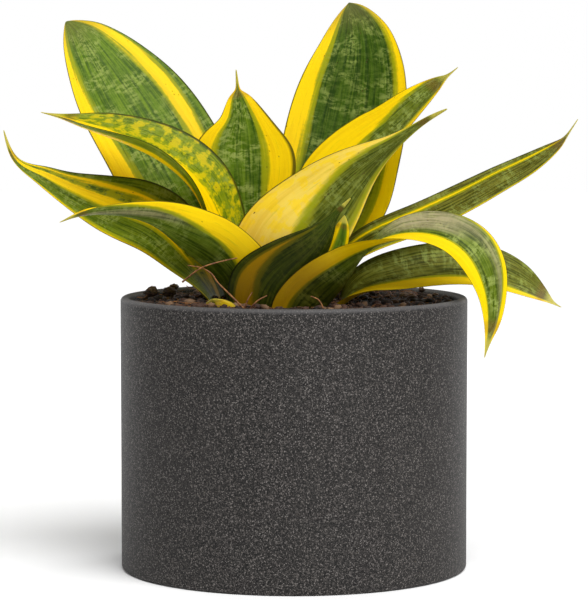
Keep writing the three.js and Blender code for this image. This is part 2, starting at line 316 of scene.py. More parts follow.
def stripe_group():
    """A lengthwise stripe of a leaf: 1 inside it, 0 outside. Its two edges run straight from root to tip, and waver."""
    group, n, given, result = new_group(
        "leaf stripe",
        {"Across": 0.0, "Toward Tip": 0.0, "Start at Root": -0.3, "End at Root": 0.3, "Start at Tip": -0.3,
         "End at Tip": 0.3, "Softness": 0.06, "Streaks": 0.5, "Waver": 0.1},
        {"Mask": NUMBER})
    at = n.plus(given["Across"], n.times(n.minus(given["Streaks"], 0.5), given["Waver"]))
    passed = []
    for side in ("Start", "End"):
        grows = n.minus(given[side + " at Tip"], given[side + " at Root"])
        edge = n.times_plus(given["Toward Tip"], grows, given[side + " at Root"])
        passed.append(n.smooth(at, n.minus(edge, given["Softness"]), n.plus(edge, given["Softness"])))
    n.plug(result["Mask"], n.times(passed[0], n.minus(1.0, passed[1])))
    return group


def grain_group():
    """Patterns that follow a leaf: fine and broad lengthwise streaks, pale cross bands, soft blotches and specks."""
    group, n, given, result = new_group(
        "leaf grain",
        {"Across": 0.0, "Along": 0.0, "Width": 0.04, "Seed": 0.0},
        {"Fine": NUMBER, "Broad": NUMBER, "Bands": NUMBER, "Blotches": NUMBER, "Specks": NUMBER})
    across_mm = n.times(n.times(given["Across"], given["Width"]), 500.0)
    along_mm = n.times(given["Along"], 1000.0)

    def spots(across_scale, along_scale):
        return n.vector(n.times(across_mm, across_scale), n.times(along_mm, along_scale), given["Seed"])

    def patches(across_scale, along_scale, detail, roughness, distortion=0.0):
        return n.noise(spots(across_scale, along_scale), 1.0, detail, roughness, distortion)

    fine = patches(1.1, 0.07, 4.0, 0.6)
    fine_shift = n.minus(fine, 0.5)
    broad = patches(0.42, 0.024, 2.0, 0.5)
    dashes = patches(0.26, 0.6, 5.0, 0.66, 0.5)
    clusters = n.smooth(patches(0.075, 0.14, 2.0, 0.5), 0.43, 0.6, 0.14, 1.0)
    ragged = n.smooth(n.times_plus(fine_shift, 0.3, dashes), 0.4, 0.62)
    mottle = n.times_plus(fine_shift, 0.35, patches(0.2, 0.24, 3.0, 0.55))
    dots = n.smooth(n.cells(spots(0.42, 0.3), 1.0), 0.06, 0.15, 1.0, 0.0)
    chosen = n.math("GREATER_THAN", n.noise(spots(1.0, 0.4), 0.12, 2.0), 0.56)
    n.plug(result["Fine"], fine)
    n.plug(result["Broad"], n.times_plus(n.minus(dashes, 0.5), 0.25, broad))
    n.plug(result["Bands"], n.times(ragged, clusters))
    n.plug(result["Blotches"], n.smooth(mottle, 0.41, 0.55))
    n.plug(result["Specks"], n.times(dots, chosen))
    return group


def yellow_skin_group():
    """Yellow skin, paler in clouds and with faint lengthwise streaks, which are greener on a young leaf."""
    group, n, given, result = new_group(
        "leaf yellow skin",
        {"Fine": 0.5, "Broad": 0.5, "Blotches": 0.0, "Cream": 0.0, "Young": 0.0},
        {"Colour": COLOUR})
    clouds = n.smooth(given["Blotches"], 0.0, 1.0, 0.35, 1.0)
    colour = n.mix(n.times(clouds, given["Cream"]), YELLOW, PALE_YELLOW)
    colour = n.tint(colour, DEEP_YELLOW, given["Broad"], 0.42, 0.68, 0.35)
    greener = n.times_plus(given["Young"], 0.4, 0.35)
    n.plug(result["Colour"], n.tint(colour, YELLOW_GREEN, given["Fine"], 0.56, 0.74, greener))
    return group


def green_skin_group():
    """Green skin: dark and fresh lengthwise streaks under silvery cross bands. It can be greyer, fresher or darker."""
    group, n, given, result = new_group(
        "leaf green skin",
        {"Fine": 0.5, "Broad": 0.5, "Bands": 0.0, "Grey": 0.0, "Fresh": 0.0, "Dark": 0.0, "Silver": 0.6},
        {"Colour": COLOUR})
    fine = given["Fine"]
    colour = n.tint(DEEP_GREEN, MID_GREEN, given["Broad"], 0.36, 0.64)
    colour = n.tint(colour, FRESH_GREEN, fine, 0.46, 0.7, 0.55)
    colour = n.mix(given["Grey"], colour, n.tint(GREY_BROWN, GREY_GREEN, fine, 0.38, 0.62))
    colour = n.mix(given["Fresh"], colour, n.tint(DEEP_OLIVE, OLIVE, fine, 0.35, 0.65))
    colour = n.mix(given["Dark"], colour, DARKENS_GREEN, "MULTIPLY")
    colour = n.mix(n.times(given["Bands"], given["Silver"]), colour, SILVER_GREEN)
    n.plug(result["Colour"], n.tint(colour, NIGHT_GREEN, fine, 0.5, 0.28, 0.5))
    return group


def sheen_streak_group(leaf_stripe):
    """Painted sheen: a pale, ragged streak of highlight along part of a leaf."""
    group, n, given, result = new_group(
        "leaf painted sheen",
        {"Across": 0.0, "Toward Tip": 0.0, "Fine": 0.5, "Broad": 0.5, "Left": -0.3, "Right": 0.3, "Low": 0.0,
         "High": 1.0, "Strength": 0.5},
        {"Mask": NUMBER})
    streak = n.group(
        leaf_stripe, Across=given["Across"], Toward_Tip=given["Toward Tip"], Start_at_Root=given["Left"],
        End_at_Root=given["Right"], Start_at_Tip=given["Left"], End_at_Tip=given["Right"], Softness=0.16,
        Streaks=given["Fine"], Waver=0.3)["Mask"]
    fade = 0.06
    begins = n.smooth(given["Toward Tip"], n.minus(given["Low"], fade), n.plus(given["Low"], fade))
    ends = n.smooth(given["Toward Tip"], n.plus(given["High"], fade), n.minus(given["High"], fade))
    ragged = n.times(n.smooth(given["Fine"], 0.3, 0.6, 0.35, 1.0), n.smooth(given["Broad"], 0.3, 0.6, 0.5, 1.0))
    n.plug(result["Mask"], n.times(n.times(streak, n.times(begins, ends)), n.times(ragged, given["Strength"])))
    return group


def margin_group():
    """A thin dark line along both margins of a leaf; `At Tip` is how strong it still is at the tip."""
    group, n, given, result = new_group(
        "leaf margin",
        {"Across": 0.0, "Toward Tip": 0.0, "Fine": 0.5, "Left Width": 0.05, "Right Width": 0.05, "At Tip": 0.0},
        {"Mask": NUMBER})
    wander = n.times_plus(n.minus(given["Fine"], 0.5), 0.05, given["Across"])
    lines = []
    for side, width in ((-1.0, given["Left Width"]), (1.0, given["Right Width"])):
        outward = n.times(wander, side)
        lines.append(n.smooth(outward, n.minus(1.0, width), n.times_plus(width, -0.4, 1.0)))
    strength = n.smooth(given["Toward Tip"], 0.93, 0.86, given["At Tip"], MARGIN_STRENGTH)
    n.plug(result["Mask"], n.times(n.math("MAXIMUM", *lines), strength))
    return group


def whole_leaf_group():
    """Puts a leaf's skins together: green on yellow with a seam between, dark margins, specks, painted shade that
    darkens and browns the blade from the root up, and either a spike that dries from a brown ring to a pale point or a
    blunt tip that is only a little tanned."""
    group, n, given, result = new_group(
        "whole leaf",
        {"Yellow Skin": YELLOW, "Green Skin": MID_GREEN, "Green": 0.0, "Margin": 0.0, "Specks": 0.0,
         "Toward Tip": 0.0, "Shade Reach": 0.3, "Shade Strength": 0.5, "Dry Spike": 1.0},
        {"Colour": COLOUR})
    tip = given["Toward Tip"]
    colour = n.mix(given["Green"], given["Yellow Skin"], given["Green Skin"])
    seam = n.times(n.times(given["Green"], n.minus(1.0, given["Green"])), 3.2)
    colour = n.mix(seam, colour, SEAM_GREEN)
    colour = n.mix(given["Margin"], colour, EDGE_GREEN)
    colour = n.mix(given["Specks"], colour, SPECK_BROWN)
    reach = given["Shade Reach"]
    # Painted shade, strongest near the root and fading out by the reach.
    shade = n.smooth(tip, reach, n.times(reach, 0.35), 0.0, given["Shade Strength"])
    colour = n.mix(shade, colour, ROOT_SHADE_TINT, "MULTIPLY")
    ring = n.times(n.smooth(tip, 0.885, 0.915), n.smooth(tip, 0.95, 0.92))
    dry = n.tint(n.mix(n.times(ring, 0.4), colour, RING_BROWN), SPIKE_STRAW, tip, 0.93, 0.96, 0.85)
    blunt = n.tint(colour, BLUNT_TIP_TAN, tip, 0.88, 1.0, 0.5)
    n.plug(result["Colour"], n.mix(given["Dry Spike"], blunt, dry))
    return group


leaf_stripe = stripe_group()
leaf_grain = grain_group()
leaf_yellow_skin = yellow_skin_group()
leaf_green_skin = green_skin_group()
leaf_sheen_streak = sheen_streak_group(leaf_stripe)
leaf_margin = margin_group()
whole_leaf = whole_leaf_group()


def leaf_material(name, width_mm, seed, greens, outer=None, edges=(0.05, 0.05), silver=0.6, grey=0.0, fresh=0.0,
                  dark=0.0, cream=0.0, young=0.0, specks=0.5, shade=(0.3, 0.5), spike=True, sheen_streaks=()):
    """Leaf skin. `greens` are the green stripes of the inner face, and `outer` those of the outer face, if they differ.
    `edges` are the widths of the two dark margins, and `silver` is the strength of the pale cross bands. `grey`,
    `fresh` and `dark` shift the green, and `cream` and `young` the yellow. `shade` is how far up the blade the painted
    shade, darker and browner toward the root, reaches, and how strong it is. `spike` is off on a blunt leaf, and the
    last argument lists pale grey streaks of painted sheen."""
    material, n, shader = new_material(name)
    blade = n.split(n.add("ShaderNodeUVMap", uv_map="blade").outputs["UV"])
    across = n.minus(n.times(blade["X"], 2.0), 1.0)
    along = n.times(blade["Y"], 1 / MAP_PER_METRE)
    tip = n.attribute("toward_tip")
    on_outer = n.math("GREATER_THAN", n.attribute("outer_side"), 0.5)
    own_seed = n.plus(n.times(on_outer, OUTER_SEED_STEP), float(seed))
    grain = n.group(leaf_grain, Across=across, Along=along, Width=width_mm * MM, Seed=own_seed)
    fine, broad, bands, blotches = (grain[label] for label in ("Fine", "Broad", "Bands", "Blotches"))

    def green_mask(stripes):
        total = 0.0
        for shape, strength in stripes:
            mask = n.group(leaf_stripe, Across=across, Toward_Tip=tip, Streaks=broad, **shape)["Mask"]
            if strength < 1.0:
                mask = n.times(mask, n.smooth(blotches, 0.0, 1.0, 1.0 - strength, 1.0))
            total = n.math("MAXIMUM", total, mask)
        return total

    green = n.mix(on_outer, green_mask(greens), green_mask(outer or greens))
    yellow_skin = n.group(leaf_yellow_skin, Fine=fine, Broad=broad, Blotches=blotches, Cream=cream, Young=young)
    green_skin = n.group(leaf_green_skin, Fine=fine, Broad=broad, Bands=bands, Grey=grey, Fresh=fresh, Dark=dark,
                         Silver=silver)["Colour"]
    for streak in sheen_streaks:
        # Painted sheen: pale grey highlight streaks over the green skin.
        sheen_streak = n.group(leaf_sheen_streak, Across=across, Toward_Tip=tip, Fine=fine, Broad=broad, **streak)["Mask"]
        green_skin = n.mix(sheen_streak, green_skin, SHEEN_GREY)
    margin = n.group(leaf_margin, Across=across, Toward_Tip=tip, Fine=fine, Left_Width=edges[0], Right_Width=edges[1],
                     At_Tip=0.0 if spike else MARGIN_STRENGTH)
    reach, strength = shade
    colour = n.group(whole_leaf, Yellow_Skin=yellow_skin["Colour"], Green_Skin=green_skin, Green=green,
                     Margin=margin["Mask"], Specks=n.times(grain["Specks"], specks), Toward_Tip=tip,
                     Shade_Reach=reach, Shade_Strength=strength, Dry_Spike=1.0 if spike else 0.0)
    n.plug(shader.inputs["Base Color"], colour["Colour"])

    roughness = n.times_plus(fine, 0.2, 0.34)
    roughness = n.plus(roughness, n.times(bands, n.times(green, 0.1)))
    n.plug(shader.inputs["Roughness"], roughness)
    shader.inputs["Specular IOR Level"].default_value = 0.11
    shader.inputs["Subsurface Weight"].default_value = 0.1
    shader.inputs["Subsurface Radius"].default_value = (0.6, 0.5, 0.1)
    shader.inputs["Subsurface Scale"].default_value = 0.0012
    ribs = n.plus(n.times(fine, 0.6), n.times(broad, 0.9))
    ribs = n.minus(ribs, n.times(grain["Specks"], 0.5))
    pores = n.bump(n.noise(n.object_place(), 1900.0, 2.0, 0.6), 0.1, 0.00008)
    n.plug(shader.inputs["Normal"], n.bump(ribs, 0.55, 0.0004, pores))
    return material


# ---------------------------------------------------------------- leaf shapes


def ring_order(layer, links):
    """The corners of one ring, in order round the blade."""
    ring = [layer[0]]
    while len(ring) < len(layer):
        ring.append(min(j for j in links[ring[-1]] if j in layer and j not in ring))
    return ring


def blade_layers(root, links):
    """A blade's corners, sorted by how many edges they are from the root."""
    seen = {root}
    layers = [[root]]
    while layers[-1]:
        following = sorted({j for i in layers[-1] for j in links[i]} - seen)
        seen.update(following)
        layers.append(following)
    return layers[:-1]


def blade_rings(node):
    """Reads a packed blade: its root corner, its rings of corners from the root up, and its tip corner. Each ring runs
    from one margin over the inner face to the other margin, and back over the outer face."""
    places, links = merged_corners(node)
    ends = [i for i, near in enumerate(links) if len(near) == BLADE_SEGMENTS]
    root = min(ends, key=lambda i: (places[i].xy.length > SOIL_RADIUS, places[i].z))
    layers = blade_layers(root, links)
    rings = [ring_order(layer, links) for layer in layers[1:-1]]

    def middle(ring):
        return centre(places[i] for i in ring)

    turned = []
    for ring, following in zip(rings, rings[1:]):
        # The inner midrib has three edges to the next ring, and the outer midrib has one.
        start = next(k for k, i in enumerate(ring) if len(links[i].intersection(following)) == 3)
        ring = ring[start:] + ring[:start]
        onward = middle(following) - middle(ring)
        facing = places[ring[0]] - places[ring[2 * QUARTER]]
        side = places[ring[QUARTER]] - places[ring[-QUARTER]]
        if side.cross(onward).dot(facing) < 0:
            ring = [ring[0]] + ring[:0:-1]
        turned.append(ring[-QUARTER:] + ring[:-QUARTER])

    def distance_to_last(ring):
        return sum((places[a] - places[b]).length for a, b in zip(ring, turned[-1]))

    # Nothing beyond the last ring tells its midrib, so it follows the ring before it, corner by corner.
    last = rings[-1]
    turns = [order[k:] + order[:k] for order in (last, last[::-1]) for k in range(BLADE_SEGMENTS)]
    turned.append(min(turns, key=distance_to_last))
    return places[root], [[places[i] for i in ring] for ring in turned], places[layers[-1][0]]


def blade_across(k):
    """Where ring corner k lies across the blade: -1 to 1 over the inner face, then back over the outer one."""
    return -1 + k / QUARTER if k <= 2 * QUARTER else 3 - k / QUARTER


def make_blade(node):
    """A packed blade's rings as even quads, with its own across-and-along map, smoothed."""
    root, rings, tip = blade_rings(node)
    middles = [centre(ring) for ring in rings]
    along = [0.0]
    for a, b in zip(middles, middles[1:]):
        along.append(along[-1] + (b - a).length)
    total = along[-1]

    cage = bmesh.new()
    uv = cage.loops.layers.uv.new("blade")
    outer = cage.loops.layers.float.new("outer_side")
    toward_tip = cage.loops.layers.float.new("toward_tip")
    crease = cage.edges.layers.float.new("crease_edge")
    start = cage.verts.new(root)
    grid = [[cage.verts.new(point) for point in ring] for ring in rings]
    end = cage.verts.new(tip)

    def face(corners, is_outer):
        made = cage.faces.new([corner[0] for corner in corners])
        made.smooth = True
        for loop, (_, side, distance) in zip(made.loops, corners):
            loop[uv].uv = (0.5 + 0.5 * side, distance * MAP_PER_METRE)
            loop[outer] = 1.0 if is_outer else 0.0
            loop[toward_tip] = distance / total

    for k in range(BLADE_SEGMENTS):
        k2 = (k + 1) % BLADE_SEGMENTS
        side, side2 = blade_across(k), blade_across(k + 1)
        between = (side + side2) / 2
        is_outer = k >= 2 * QUARTER
        face([(start, between, 0.0), (grid[0][k2], side2, 0.0), (grid[0][k], side, 0.0)], is_outer)
        face([(end, between, total), (grid[-1][k], side, total), (grid[-1][k2], side2, total)], is_outer)
        for low, high, low_at, high_at in zip(grid, grid[1:], along, along[1:]):
            face([(low[k], side, low_at), (low[k2], side2, low_at),
                  (high[k2], side2, high_at), (high[k], side, high_at)], is_outer)
    for low, high in zip(grid, grid[1:]):
        for margin in (0, 2 * QUARTER):
            cage.edges.get((low[margin], high[margin]))[crease] = MARGIN_CREASE
    mesh = bpy.data.meshes.new(node + "_blade")
    cage.to_mesh(mesh)
    cage.free()
    blade = new_object("blade_" + node, mesh)
    apply_modifier(blade, "SUBSURF", levels=BLADE_SMOOTHING, render_levels=BLADE_SMOOTHING)
    return blade


def stripe(root, tip, softness, waver, strength=1.0):
    """A lengthwise stripe. `root` and `tip` are where its two edges lie across the blade there, from -1 to 1."""
    shape = dict(Start_at_Root=root[0], End_at_Root=root[1], Start_at_Tip=tip[0], End_at_Tip=tip[1],
                 Softness=softness, Waver=waver)
    return shape, strength


def sheen_streak(across, along, strength):
    """A streak of painted sheen between two places across the blade and two toward the tip."""
    return dict(Left=across[0], Right=across[1], Low=along[0], High=along[1], Strength=strength)


LEAF_LOOKS = {
    "leaf_back_left": dict(
        width_mm=52, seed=1, edges=(0.04, 0.045), silver=0.7, spike=False,
        greens=[stripe((-0.3, 0.5), (-0.82, 0.6), 0.09, 0.3), stripe((0.5, 1.1), (0.98, 1.1), 0.05, 0.2)]),
    "leaf_back_right": dict(
        width_mm=52, seed=2, edges=(0.035, 0.035), silver=0.6, dark=0.85, specks=0.8, spike=False,
        greens=[stripe((-0.62, 0.6), (-0.66, 0.82), 0.09, 0.26)]),
    "leaf_centre": dict(
        width_mm=44, seed=3, edges=(0.07, 0.12), silver=0.85, dark=0.25, shade=(0.35, 0.4),
        greens=[stripe((-0.62, 0.3), (-0.56, 0.46), 0.1, 0.22)]),
    "leaf_left_upper": dict(
        width_mm=40, seed=4, edges=(0.06, 0.1), silver=0.3, fresh=0.8, specks=0.8,
        greens=[stripe((0.16, 1.1), (0.16, 1.1), 0.06, 0.3, strength=0.8)],
        outer=[stripe((-1.1, -0.74), (-1.1, -0.7), 0.05, 0.1)]),
    "leaf_left_long": dict(
        width_mm=36, seed=5, edges=(0.06, 0.08), silver=0.5, grey=0.15, fresh=0.35, dark=0.3, shade=(0.4, 0.5),
        greens=[stripe((-0.88, -0.1), (-0.88, -0.08), 0.09, 0.2),
                stripe((-0.26, 0.06), (0.66, 0.86), 0.07, 0.3, strength=0.6),
                stripe((0.3, 1.1), (1.02, 1.2), 0.06, 0.2)]),
    "leaf_left_front": dict(
        width_mm=26, seed=6, edges=(0.05, 0.06), silver=0.5, grey=0.3, dark=0.3, shade=(0.55, 0.5),
        greens=[stripe((-0.6, 0.5), (-0.4, 0.4), 0.08, 0.2)],
        outer=[stripe((0.35, 1.1), (-1.2, 0.9), 0.1, 0.2)],
        sheen_streaks=[sheen_streak((-0.56, -0.26), (0.55, 0.95), 0.7)]),
    "leaf_front_right": dict(
        width_mm=44, seed=7, edges=(0.05, 0.06), silver=0.35, grey=0.7, fresh=0.15, dark=0.45, cream=0.7, specks=1.0,
        shade=(0.45, 0.5),
        greens=[stripe((-0.5, 0.3), (-0.4, 0.3), 0.08, 0.2)],
        outer=[stripe((-0.82, -0.9), (-0.82, 1.04), 0.17, 0.22)]),
    "leaf_right_upper": dict(
        width_mm=31, seed=8, edges=(0.05, 0.07), silver=0.8, grey=0.4,
        greens=[stripe((1.45, 0.76), (-1.05, 0.72), 0.12, 0.3)],
        outer=[stripe((-0.5, 0.6), (-0.5, 0.6), 0.1, 0.2)]),
    # Painted shade darkens nearly the whole of this leaf.
    "leaf_front_small": dict(
        width_mm=36, seed=9, edges=(0.05, 0.07), silver=0.35, grey=0.1, shade=(1.5, 0.95),
        greens=[stripe((-0.5, 0.3), (-0.5, 0.3), 0.08, 0.2)],
        outer=[stripe((-1.1, 0.0), (-1.1, 1.1), 0.14, 0.24), stripe((0.76, 1.1), (0.76, 1.1), 0.06, 0.16)]),
    "leaf_young": dict(
        width_mm=11, seed=10, edges=(0.1, 0.1), silver=0.15, young=1.0,
        greens=[stripe((-0.6, 0.3), (-0.6, 0.3), 0.1, 0.2)]),
    "leaf_right_long": dict(
        width_mm=20, seed=11, edges=(0.07, 0.06), silver=0.55, grey=0.85, dark=0.1, shade=(0.4, 0.6),
        greens=[stripe((-1.1, -0.66), (-1.1, -0.66), 0.07, 0.2), stripe((-0.5, 0.86), (-0.5, 0.86), 0.07, 0.2)],
        sheen_streaks=[sheen_streak((0.86, 1.2), (0.4, 0.7), 0.8)]),
    "leaf_arching": dict(
        width_mm=22, seed=12, edges=(0.03, 0.05), silver=0.8, grey=0.3, dark=0.15, shade=(0.42, 0.9),
        greens=[stripe((-1.8, 0.0), (-0.45, 0.5), 0.07, 0.14)],
        outer=[stripe((-1.1, 0.38), (-1.1, 0.38), 0.1, 0.2)],
        sheen_streaks=[sheen_streak((-1.2, -0.05), (0.42, 0.62), 0.9), sheen_streak((-0.8, -0.45), (0.6, 1.0), 0.5)]),
    "leaf_right_low": dict(
        width_mm=25, seed=13, edges=(0.04, 0.05), silver=0.6, grey=0.75, dark=0.1, shade=(0.35, 0.5),
        greens=[stripe((-1.1, 0.3), (-1.1, 0.7), 0.1, 0.2)]),
    "sheath": dict(
        width_mm=20, seed=14, edges=(0.06, 0.06), silver=0.0, cream=0.4, young=0.6,
        greens=[stripe((-0.1, 0.1), (-0.1, 0.1), 0.1, 0.2, strength=0.6)]),
}


# ---------------------------------------------------------------- pot


def weigh_rim_and_foot(mesh):
    """Marks the lip's two edges and the foot's outer edge for rounding."""
    weights = mesh.attributes.new("bevel_weight_edge", "FLOAT", "EDGE")
    for edge in mesh.edges:
        a, b = (mesh.vertices[i].co for i in edge.vertices)
        level = abs(a.z - b.z) < SAME_PLACE
        round_the_wall = a.xy.length > WALL_RADIUS * 0.99 and abs(a.xy.length - b.xy.length) < 1e-5
        if level and round_the_wall and a.z > RIM_HEIGHT - 1e-5:
            weights.data[edge.index].value = 1.0
        elif level and round_the_wall and a.z < 1e-5:
            weights.data[edge.index].value = FOOT_ROUNDING / RIM_ROUNDING


def make_pot():
    """A cylinder opened at the top by an inset that is pushed down, with a rounded lip and foot."""
    deselect_all()
    bpy.ops.mesh.primitive_cylinder_add(
        vertices=POT_SIDES, radius=POT_RADIUS, depth=RIM_HEIGHT, end_fill_type="NGON", location=(0, 0, RIM_HEIGHT / 2))
    pot = bpy.context.object
    pot.name = "pot_body"
    put_in_mesh(pot)
    bpy.ops.object.mode_set(mode="EDIT")
    bpy.ops.mesh.select_mode(type="FACE")
    bpy.ops.mesh.select_all(action="DESELECT")
    shape = bmesh.from_edit_mesh(pot.data)
    for face in shape.faces:
        face.select_set(face.normal.z > 0.9)
    bmesh.update_edit_mesh(pot.data)
    bpy.ops.mesh.inset(thickness=WALL)
    down_to_floor = soil_low.z - FIT_GAP - RIM_HEIGHT
    bpy.ops.mesh.extrude_region_move(TRANSFORM_OT_translate={"value": (0, 0, down_to_floor)})
    bpy.ops.mesh.inset(thickness=POT_RADIUS * 0.4)
    bpy.ops.object.mode_set(mode="OBJECT")
    weigh_rim_and_foot(pot.data)
    apply_modifier(pot, "BEVEL", width=RIM_ROUNDING, segments=ROUNDING_STEPS, limit_method="WEIGHT")
    make_active(pot)
    bpy.ops.object.shade_smooth_by_angle(angle=math.radians(40))
    return pot


def pot_material():
    """Dark cast stone: fine light and dark grit, soft clouds, a few pale chips, and a painted highlight lightening the
    lip.
    """
    material, n, shader = new_material("dark cast stone")
    place = n.object_place()
    grit = n.noise(place, 2300.0, 2.0, 0.6)
    coarse = n.noise(place, 1150.0, 2.0, 0.6)
    clouds = n.noise(n.scaled(place, (1, 1, 0.6)), 22.0, 4.0, 0.6)
    colour = n.tint(rgb(2, 2, 2), rgb(58, 55, 53), grit, 0.38, 0.64)
    colour = n.tint(colour, rgb(108, 102, 98), coarse, 0.54, 0.66, 0.4)
    colour = n.tint(colour, rgb(4, 4, 4), coarse, 0.48, 0.34, 0.75)
    colour = n.tint(colour, rgb(60, 57, 55), clouds, 0.4, 0.7, 0.1)

    bright_grains = n.smooth(n.cells(place, 1700.0), 0.5, 0.22)
    bright_grains = n.times(bright_grains, n.smooth(n.noise(place, 1300.0, 1.0), 0.5, 0.58))
    colour = n.mix(n.times(bright_grains, 0.65), colour, rgb(146, 140, 136))

    ragged = n.plus(n.cells(place, 36.0), n.times(n.minus(coarse, 0.5), 0.03))
    chips = n.times(n.smooth(ragged, 0.025, 0.04, 1.0, 0.0), n.math("GREATER_THAN", n.noise(place, 17.0, 1.0), 0.6))
    colour = n.mix(n.times(chips, 0.7), colour, rgb(150, 134, 116))

    height = n.split(place)["Z"]
    # Painted highlight: lighter colour along the top of the lip.
    colour = n.tint(colour, rgb(96, 94, 94), height, RIM_HEIGHT - 2.2 * MM, RIM_HEIGHT - 0.6 * MM, 0.6)
    relief = n.plus(n.times(grit, 0.5), n.times(coarse, 0.7))
    n.plug(shader.inputs["Base Color"], colour)
    n.plug(shader.inputs["Roughness"], n.smooth(grit, 0.2, 0.8, 0.55, 0.78))
    n.plug(shader.inputs["Normal"], n.bump(relief, 0.45, 0.00022))
    shader.inputs["Specular IOR Level"].default_value = 0.3
    return material


# ---------------------------------------------------------------- soil


def soil_skin():
    """Points all over the packed soil's upper skin, but not in the slots that the leaves stand in."""
    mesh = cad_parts["soil"].data
    points = []
    for face in mesh.polygons:
        corners = [mesh.vertices[i].co for i in face.vertices]
        if face.normal.z > 0.8 and min(corner.z for corner in corners) > RIM_HEIGHT - SOIL_SKIN_DEPTH:
            points.append(centre(corners))
    return points


def soil_level(x, y, skin):
    """Soil height at a place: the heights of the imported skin's points, the near ones counting most."""
    total = weight_sum = 0.0
    for point in skin:
        weight = 1 / ((point.x - x) ** 2 + (point.y - y) ** 2 + 9e-6) ** 2
        total += weight * point.z
        weight_sum += weight
    return total / weight_sum


def lumps(x, y):
    """Clods and crumbs of the loose soil, in metres above its level."""
    coarse = noise(Vector((x, y, 0.0)) * 130)
    middle = noise(Vector((x, y, 3.1)) * 330)
    small = noise(Vector((x, y, 7.7)) * 800)
    return (0.9 * coarse + 0.7 * abs(middle) + 0.3 * small) * MM


def soil_top(x, y, skin):
    """The lumpy soil's height, kept just under the lip in the middle and well under it at the wall."""
    out = min(1.0, math.hypot(x, y) / WALL_RADIUS)
    ceiling = RIM_HEIGHT - (0.8 + 2.2 * out ** 2) * MM
    return min(soil_level(x, y, skin) + lumps(x, y), ceiling)


def make_soil(skin):
    """A disc of many rings with the soil's height at each corner, closed by a skirt down the wall and a flat bottom."""
    deselect_all()
    bpy.ops.mesh.primitive_circle_add(
        vertices=SOIL_SIDES, radius=WALL_RADIUS + SOIL_INTO_WALL, fill_type="NGON", location=(0, 0, RIM_HEIGHT))
    soil = bpy.context.object
    soil.name = "soil_surface"
    put_in_mesh(soil)
    bpy.ops.object.mode_set(mode="EDIT")
    bpy.ops.mesh.select_mode(type="FACE")
    bpy.ops.mesh.select_all(action="SELECT")
    for _ in range(SOIL_RINGS):
        bpy.ops.mesh.inset(thickness=(WALL_RADIUS - 1 * MM) / SOIL_RINGS)
    bpy.ops.mesh.poke()
    bpy.ops.mesh.select_all(action="SELECT")
    bpy.ops.mesh.subdivide(number_cuts=1)
    bpy.ops.object.mode_set(mode="OBJECT")
    for vertex in soil.data.vertices:
        vertex.co.z = soil_top(vertex.co.x, vertex.co.y, skin)
    bpy.ops.object.mode_set(mode="EDIT")
    bpy.ops.mesh.select_mode(type="EDGE")
    bpy.ops.mesh.select_all(action="DESELECT")
    bpy.ops.mesh.select_non_manifold()
    bpy.ops.mesh.extrude_edges_move(TRANSFORM_OT_translate={"value": (0, 0, -SOIL_SKIRT)})
    bpy.ops.mesh.edge_face_add()
    bpy.ops.mesh.select_all(action="SELECT")
    bpy.ops.mesh.normals_make_consistent(inside=False)
    bpy.ops.object.mode_set(mode="OBJECT")
    shade_smooth(soil)
    return soil


def crumb_shapes():
    """A few lumps of peat and bark, twenty faces each, as their points and the points of each face."""
    shapes = []
    for variant in range(CRUMB_KINDS):
        deselect_all()
        bpy.ops.mesh.primitive_ico_sphere_add(subdivisions=1, radius=1.0)
        crumb = bpy.context.object
        bpy.ops.object.mode_set(mode="EDIT")
        bpy.ops.mesh.select_all(action="SELECT")
        bpy.ops.transform.vertex_random(offset=0.35, seed=variant + 3)
        bpy.ops.object.mode_set(mode="OBJECT")
        mesh = crumb.data
        shapes.append(([v.co.copy() for v in mesh.vertices], [tuple(face.vertices) for face in mesh.polygons]))
        bpy.data.objects.remove(crumb)
        bpy.data.meshes.remove(mesh)
    return shapes


def random_place(chance, share):
    """A random place on the soil, within a share of its radius."""
    radius = SOIL_RADIUS * math.sqrt(chance.random()) * share
    angle = chance.random() * math.tau
    return radius * math.cos(angle), radius * math.sin(angle)


def scatter_crumbs(skin):
    """Loose crumbs of several sizes, most of them small, lying on the soil."""
    chance = random.Random(21)
    shapes = crumb_shapes()
    vertices, faces, tints = [], [], []
    for _ in range(CRUMB_COUNT):
        x, y = random_place(chance, 0.985)
        size = (0.35 + 1.9 * chance.random() ** 5) * MM
        stretch = Vector((1 + 0.5 * chance.random(), 1.0, 0.8))
        turn = Matrix.Rotation(chance.random() * math.tau, 3, "Z")
        turn = turn @ Matrix.Rotation(chance.uniform(-0.5, 0.5), 3, "X")
        points, sides = shapes[chance.randrange(len(shapes))]
        middle = Vector((x, y, soil_top(x, y, skin) + 0.25 * size))
        base = len(vertices)
        for point in points:
            spot = turn @ (point * stretch * size) + middle
            out = spot.xy.length / WALL_RADIUS
            if out > 1:
                spot.x /= out
                spot.y /= out
            vertices.append(spot)
        faces.extend(tuple(base + i for i in side) for side in sides)
        tints.extend([chance.random()] * len(sides))
    mesh = bpy.data.meshes.new("soil_crumbs")
    mesh.from_pydata(vertices, [], faces)
    mesh.attributes.new("tint", "FLOAT", "FACE").data.foreach_set("value", tints)
    crumbs = new_object("soil_crumbs", mesh)
    shade_smooth(crumbs)
    return crumbs


def tube(name, paths, roundness):
    """One mesh of thin round fibres; each path is a list of (point, radius)."""
    curve = bpy.data.curves.new(name, "CURVE")
    curve.dimensions = "3D"
    curve.bevel_depth = 1.0
    curve.bevel_resolution = roundness
    curve.resolution_u = 4
    curve.use_fill_caps = True
    for path in paths:
        spline = curve.splines.new("BEZIER")
        spline.bezier_points.add(len(path) - 1)
        for knot, (point, radius) in zip(spline.bezier_points, path):
            knot.co = point
            knot.radius = radius
            knot.handle_left_type = knot.handle_right_type = "AUTO"
    make_active(new_object(name, curve))
    bpy.ops.object.convert(target="MESH")
    made = bpy.context.object
    made.name = name
    shade_smooth(made)
    return made


